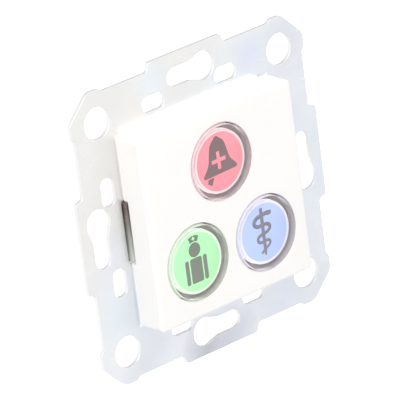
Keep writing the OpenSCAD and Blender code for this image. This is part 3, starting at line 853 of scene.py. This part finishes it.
def capProfile(look):
    outer, rim, foot = look["radius"], look["rim"], look["foot"]
    points = [(0, capTop)]
    for i in range(look["rimSteps"] + 1):
        a = math.radians(90 - 90 * i / look["rimSteps"])
        points.append((outer - rim + rim * math.cos(a), capTop - rim + rim * math.sin(a)))
    points += [(outer, look["base"] + foot), (outer - foot, look["base"])]
    points += [(look["pocket"], look["base"]), (look["pocket"], look["ceiling"]), (0, look["ceiling"])]
    return points


def paintWalls(mesh, centre, look):  # 1 on the cap's upright outer wall, 2 on its pocket's wall
    for face in mesh.polygons:
        away = math.hypot(face.center.x / mm - centre[0], face.center.z / mm - centre[1])
        if abs(face.normal.y) < look["upright"]:
            face.material_index = 1 if away > look["radius"] - look["foot"] else 2


for button, centre in buttons.items():
    mesh = lathe(capProfile(capLook), centre, capLook)
    piece = addPiece(button + "ClearCap", mesh, button + "_button", clear)
    for wall in ("side", "pocket"):
        mesh.materials.append(dressed[button][wall])
    paintWalls(mesh, centre, capLook)
    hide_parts(button + "_cap")
print("caps made")

# Printed symbols

symbolLook = {"low": 7.15, "high": 7.23, "cornerSteps": 5, "discSteps": 40}
inkMiddle = (symbolLook["low"] + symbolLook["high"]) / 2
inkThickness = symbolLook["high"] - symbolLook["low"]


def roundBox(x0, x1, y0, y1, r):
    steps = symbolLook["cornerSteps"]
    corners = ((x1 - r, y1 - r), (x0 + r, y1 - r), (x0 + r, y0 + r), (x1 - r, y0 + r))
    points = []
    for quarter, (cx, cy) in enumerate(corners):
        for i in range(steps + 1):
            a = math.radians(90 * (quarter + i / steps))
            points.append((cx + r * math.cos(a), cy + r * math.sin(a)))
    return points


def disc(cx, cy, rx, ry):
    steps = symbolLook["discSteps"]
    turns = [2 * math.pi * k / steps for k in range(steps)]
    return [(cx + rx * math.cos(a), cy + ry * math.sin(a)) for a in turns]


def plus(cx, cy, arm, half):
    corners = [(half, -arm), (half, -half), (arm, -half)]
    points = []
    for _ in range(4):
        points += corners
        corners = [(-y, x) for x, y in corners]
    return [(cx + x, cy + y) for x, y in points]


def shifted(points, dx):
    return [(x + dx, y) for x, y in points]


def leaned(points, degrees):
    c, s = math.cos(math.radians(degrees)), math.sin(math.radians(degrees))
    return [(x * c - y * s, x * s + y * c) for x, y in points]


def takeMesh(holder):  # the mesh that an object ends up with, and the object is gone
    graph = bpy.context.evaluated_depsgraph_get()
    mesh = bpy.data.meshes.new_from_object(holder.evaluated_get(graph))
    bpy.data.objects.remove(holder)
    return mesh


def fillLoops(loops, centre):  # flat shape with holes, as a thin layer of ink
    curve = bpy.data.curves.new("ink", "CURVE")
    curve.dimensions = "2D"
    curve.fill_mode = "BOTH"
    curve.extrude = inkThickness / 2 * mm
    for loop in loops:
        line = curve.splines.new("POLY")
        line.points.add(len(loop) - 1)
        for point, (x, y) in zip(line.points, loop):
            point.co = (x * mm, y * mm, 0, 1)
        line.use_cyclic_u = True
    mesh = takeMesh(newObject("ink", curve))
    mesh.transform(standUp(centre, inkMiddle))
    return mesh


def joinMeshes(name, meshes):
    shape = bmesh.new()
    for mesh in meshes:
        shape.from_mesh(mesh)
        bpy.data.meshes.remove(mesh)
    bmesh.ops.remove_doubles(shape, verts=shape.verts, dist=weldGap * mm)
    joined = bpy.data.meshes.new(name)
    shape.to_mesh(joined)
    shape.free()
    return joined


bellLook = {
    "middle": -0.22,
    "lean": 1.8,
    "half": [
        (0.35, 5.95), (0.8, 5.45), (1.7, 4.75), (2.1, 4.1), (2.35, 3.3), (2.65, 2.0), (2.9, 0.8),
        (3.15, 0.0), (3.8, -0.92), (4.6, -1.74), (4.83, -2.2), (4.7, -2.66), (4.38, -2.74),
    ],
    "cross": (-0.04, 0.38, 2.04, 0.46),
    "clapper": [(-3.88, -3.0), (-2.2, -3.0), (-3.08, -4.7), (-4.18, -3.95)],
}


def bellMesh(name, centre):
    look = bellLook
    outline = look["half"] + [(-x, y) for x, y in reversed(look["half"])]
    bell = [shifted(loop, look["middle"]) for loop in (outline, plus(*look["cross"]))]
    parts = [[leaned(loop, look["lean"]) for loop in loops] for loops in (bell, [look["clapper"]])]
    return joinMeshes(name, [fillLoops(loops, centre) for loops in parts])


nurseLook = {
    "middle": -0.18,
    "head": (-0.03, 2.91, 1.68, 1.68),
    "hat": [
        (-1.08, 4.62), (-0.5, 4.78), (0, 4.82), (0.5, 4.78), (1.08, 4.62),
        (1.5, 5.86), (0.7, 6.12), (0, 6.18), (-0.7, 6.12), (-1.52, 5.86),
    ],
    "hatCross": (-0.03, 5.53, 0.46, 0.17),
    "body": (-1.68, 1.68, -4.7, 1.06, 0.45),
    "arms": [(-3.14, -2.08, -4.72, 1.04, 0.5), (2.05, 3.1, -4.72, 1.04, 0.5)],
}


def nurseMesh(name, centre):
    look = nurseLook
    parts = [[look["hat"], plus(*look["hatCross"])], [disc(*look["head"])]]
    parts += [[roundBox(*sides)] for sides in (look["body"], *look["arms"])]
    moved = [[shifted(loop, look["middle"]) for loop in loops] for loops in parts]
    return joinMeshes(name, [fillLoops(loops, centre) for loops in moved])


# Pieces that follow a path


def startPathTree(name, inputs):
    sockets = [("Geometry", "Geometry", None)] + [(label, kind, None) for label, kind in inputs]
    sockets += [("Material", "Material", None)]
    return startGroup(name, "GeometryNodeTree", sockets, [("Geometry", "Geometry")])


def finishPathTree(tree, geometry, material, out):
    realized = addNode(tree, "GeometryNodeRealizeInstances", Geometry=geometry)
    painted = addNode(
        tree, "GeometryNodeSetMaterial", Geometry=realized.outputs["Geometry"], Material=material
    )
    feed(tree, out["Geometry"], painted.outputs["Geometry"])


def makeSpringTree():
    tree, given, out = startPathTree("woundSpring", [
        ("Coil Radius", "Float"), ("Wire Radius", "Float"), ("Curls", "Float"),
        ("Length", "Float"), ("Steps", "Int"), ("Sides", "Int"),
    ])
    coil = addNode(
        tree, "GeometryNodeCurveSpiral", Resolution=given["Steps"], Rotations=given["Curls"],
        Start_Radius=given["Coil Radius"], End_Radius=given["Coil Radius"], Height=given["Length"],
    )
    wire = addNode(
        tree, "GeometryNodeCurvePrimitiveCircle", Resolution=given["Sides"], Radius=given["Wire Radius"]
    )
    tube = addNode(
        tree, "GeometryNodeCurveToMesh",
        Curve=coil.outputs["Curve"], Profile_Curve=wire.outputs["Curve"], Fill_Caps=True,
    )
    smooth = addNode(tree, "GeometryNodeSetShadeSmooth", Geometry=tube.outputs["Mesh"])
    finishPathTree(tree, smooth.outputs["Geometry"], given["Material"], out)
    return tree


def makeRibbonTree():
    tree, given, out = startPathTree("inkRibbon", [
        ("Width", "Float"), ("Height", "Float"), ("Tail Share", "Float"), ("Spacing", "Float"),
    ])
    fine = tree.nodes.new("GeometryNodeResampleCurve")
    fine.mode = "LENGTH"
    feed(tree, fine.inputs["Curve"], given["Geometry"])
    feed(tree, fine.inputs["Length"], given["Spacing"])
    along = tree.nodes.new("GeometryNodeSplineParameter")
    thin = addNode(
        tree, "ShaderNodeMapRange", Value=along.outputs["Factor"], To_Min=1.0, To_Max=given["Tail Share"]
    )
    section = addNode(
        tree, "GeometryNodeCurvePrimitiveQuadrilateral", Width=given["Width"], Height=given["Height"]
    )
    tube = addNode(
        tree, "GeometryNodeCurveToMesh", Curve=fine.outputs["Curve"],
        Profile_Curve=section.outputs["Curve"], Scale=thin.outputs["Result"], Fill_Caps=True,
    )
    finishPathTree(tree, tube.outputs["Mesh"], given["Material"], out)
    return tree


def grownMesh(source, tree, values):  # runs the tree on the source and gives back a plain mesh
    holder = newObject("grown", source)
    grower = holder.modifiers.new("grow", "NODES")
    grower.node_group = tree
    for item in tree.interface.items_tree:
        if item.item_type == "SOCKET" and item.in_out == "INPUT" and item.name in values:
            grower[item.identifier] = values[item.name]
    bpy.context.view_layer.update()
    return takeMesh(holder)


def closed(mesh):
    shape = bmesh.new()
    shape.from_mesh(mesh)
    bmesh.ops.remove_doubles(shape, verts=shape.verts, dist=weldGap * mm)
    bmesh.ops.recalc_face_normals(shape, faces=shape.faces)
    shape.to_mesh(mesh)
    shape.free()
    return mesh


springTree = makeSpringTree()
ribbonTree = makeRibbonTree()
springLook = {
    "coil": 3.0,
    "wire": 0.225,
    "curls": 3.0,
    "foot": 2.05,
    "long": 3.6,
    "steps": 48,
    "sides": 10,
    "keep": 0.72,
}


def addSpring(button, centre, look):
    mesh = grownMesh(bpy.data.meshes.new("springSeed"), springTree, {
        "Coil Radius": look["coil"] * mm,
        "Wire Radius": look["wire"] * mm,
        "Curls": look["curls"],
        "Length": (look["long"] - 2 * look["wire"]) * mm,
        "Steps": look["steps"],
        "Sides": look["sides"],
        "Material": springWire,
    })
    mesh.transform(standUp(centre, look["foot"] + look["wire"]))
    piece = addPiece(button + "ReturnSpring", closed(mesh), "module", springWire)
    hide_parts(button + "_spring")
    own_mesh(piece)


for button, centre in buttons.items():
    addSpring(button, centre, springLook)
print("springs wound")

rodLook = {
    "shift": -0.18,
    "staff": [
        (-0.62, 5.7), (-0.2, 5.85), (0.24, 5.8), (0.36, 4.4), (0.32, -4.2), (0.1, -5.3),
        (-0.26, -5.3), (-0.56, -4.2), (-0.62, 4.4),
    ],
    "head": (1.95, 4.08, 0.85, 0.56),
    "path": [
        (2.6, 4.0), (1.3, 4.2), (-0.3, 4.05), (-1.8, 3.7), (-2.5, 2.8), (-1.9, 1.95), (-0.15, 1.75),
        (1.35, 1.6), (1.9, 0.85), (1.2, 0.05), (-0.15, -0.3), (-1.5, -0.62), (-1.95, -1.3), (-1.4, -1.95),
        (-0.15, -2.08), (1.1, -2.05), (1.5, -2.7), (0.9, -3.35), (-0.15, -3.85), (-1.25, -4.65),
    ],
    "pathSteps": 16,
    "spacing": 0.12,
    "wide": 1.02,
    "narrow": 0.6,
}


def rodMesh(name, centre):
    look = rodLook
    curve = bpy.data.curves.new("snakePath", "CURVE")
    curve.dimensions = "3D"
    line = curve.splines.new("BEZIER")
    line.bezier_points.add(len(look["path"]) - 1)
    line.resolution_u = look["pathSteps"]
    for point, (x, y) in zip(line.bezier_points, shifted(look["path"], look["shift"])):
        point.co = (x * mm, y * mm, 0)
        point.handle_left_type = point.handle_right_type = "AUTO"
    snake = grownMesh(curve, ribbonTree, {
        "Width": look["wide"] * mm,
        "Height": inkThickness * mm,
        "Tail Share": look["narrow"] / look["wide"],
        "Spacing": look["spacing"] * mm,
        "Material": dressed["doctor"]["ink"],
    })
    snake.transform(standUp(centre, inkMiddle))
    loops = (look["staff"], disc(*look["head"]))
    return joinMeshes(name, [snake] + [fillLoops([shifted(loop, look["shift"])], centre) for loop in loops])


for button, maker, name in (
    ("call", bellMesh, "bellSymbol"),
    ("nurse", nurseMesh, "nurseSymbol"),
    ("doctor", rodMesh, "rodSymbol"),
):
    addPiece(name, maker(name, buttons[button]), button + "_button", dressed[button]["ink"])
print("symbols printed")

# Studio

studio = {
    "floorHeight": -0.16,
    "floorSize": 4.0,
    "floorTones": [(0.3, (0.86, 0.86, 0.86)), (0.7, (0.9, 0.9, 0.9))],
    "floorToneScale": 4.0,
    "floorRough": 0.9,
    "floorGlow": 0.5,
    "floorGloss": 0.08,
    "ambient": 0.72,
    "lampSize": 0.8,
    # place and power
    "lamps": {
        "keyLamp": ((-0.72, -0.62, 0.9), 8.2),
        "fillLamp": ((0.6, -1.0, -0.05), 1.1),
        "topLamp": ((0.1, -0.3, 1.1), 1.5),
    },
}


def showWhite(tree, surface, seen, glossed):  # whiter to the camera and in gloss and glass than its light
    rays = tree.nodes.new("ShaderNodeLightPath").outputs
    direct = addMath(tree, "MAXIMUM", rays["Is Camera Ray"], rays["Is Transmission Ray"])
    inGloss = addMath(tree, "MULTIPLY", rays["Is Glossy Ray"], glossed)
    strength = addMath(tree, "ADD", addMath(tree, "MULTIPLY", direct, seen), inGloss)
    white = addNode(tree, "ShaderNodeEmission", Strength=strength)
    both = tree.nodes.new("ShaderNodeAddShader")
    feed(tree, both.inputs[0], surface)
    feed(tree, both.inputs[1], white.outputs[0])
    return both.outputs[0]


def makeFloor():
    half = studio["floorSize"] / 2
    z = studio["floorHeight"]
    mesh = bpy.data.meshes.new("studioFloor")
    mesh.from_pydata([(-half, -half, z), (half, -half, z), (half, half, z), (-half, half, z)], [], [range(4)])
    floor = newObject("studioFloor", mesh)
    material, tree, shader, place = startMaterial("paleFloor")
    cloud = addNoise(tree, place["Object"], studio["floorToneScale"])
    feed(tree, shader.inputs["Base Color"], addRamp(tree, cloud, studio["floorTones"]))
    shader.inputs["Roughness"].default_value = studio["floorRough"]
    shown = showWhite(tree, shader.outputs[0], studio["floorGlow"], studio["floorGloss"])
    feed(tree, tree.nodes["Material Output"].inputs["Surface"], shown)
    paint(floor, material)


def makeWorld():  # white to the eye, in gloss and through glass, dimmer as a light
    world = bpy.data.worlds.new("studioWorld")
    bpy.context.scene.world = world
    world.use_nodes = True
    tree = world.node_tree
    rays = tree.nodes.new("ShaderNodeLightPath").outputs
    mirrored = addMath(tree, "MAXIMUM", rays["Is Glossy Ray"], rays["Is Transmission Ray"])
    seen = addMath(tree, "MAXIMUM", rays["Is Camera Ray"], mirrored)
    strength = addNode(tree, "ShaderNodeMapRange", Value=seen, To_Min=studio["ambient"], To_Max=1.0)
    background = tree.nodes["Background"]
    feed(tree, background.inputs["Strength"], strength.outputs[0])
    background.inputs["Color"].default_value = (1, 1, 1, 1)


def addLamp(name, place, power):
    lamp = bpy.data.lights.new(name, "AREA")
    lamp.energy = power
    lamp.size = studio["lampSize"]
    holder = newObject(name, lamp)
    holder.location = place
    holder.rotation_euler = (-Vector(place)).to_track_quat("-Z", "Y").to_euler()


cameraLook = {  # angles in degrees, lengths in mm, the focal length in pixels of the photo
    "around": -39.1607,
    "above": 20.3705,
    "roll": -7.4247,
    "distance": 1089.6,
    "shiftRight": 0.85,
    "shiftUp": 0.12,
    "focal": 4946.0,
    "pixels": 400,
    "sensor": 36,
    "nearest": 50,
}


def makeCamera(look):
    around, above, roll = (math.radians(look[key]) for key in ("around", "above", "roll"))
    turn = Matrix.Rotation(around, 3, "Z") @ Matrix.Rotation(math.pi / 2 - above, 3, "X")
    turn = turn @ Matrix.Rotation(roll, 3, "Z")
    right, up, back = turn.transposed()
    camera = bpy.data.cameras.new("photoCamera")
    camera.sensor_width = look["sensor"]
    camera.lens = look["focal"] / look["pixels"] * look["sensor"]
    camera.clip_start = look["nearest"] * mm
    holder = newObject("photoCamera", camera)
    away = back * look["distance"] - right * look["shiftRight"] - up * look["shiftUp"]
    place = onWall(0, 0, plateFront) + away * mm
    holder.matrix_world = Matrix.Translation(place) @ turn.to_4x4()
    bpy.context.scene.camera = holder


makeFloor()
makeWorld()
for name, (place, power) in studio["lamps"].items():
    addLamp(name, place, power)
makeCamera(cameraLook)
bpy.context.scene.view_settings.view_transform = "Standard"
print("studio set")
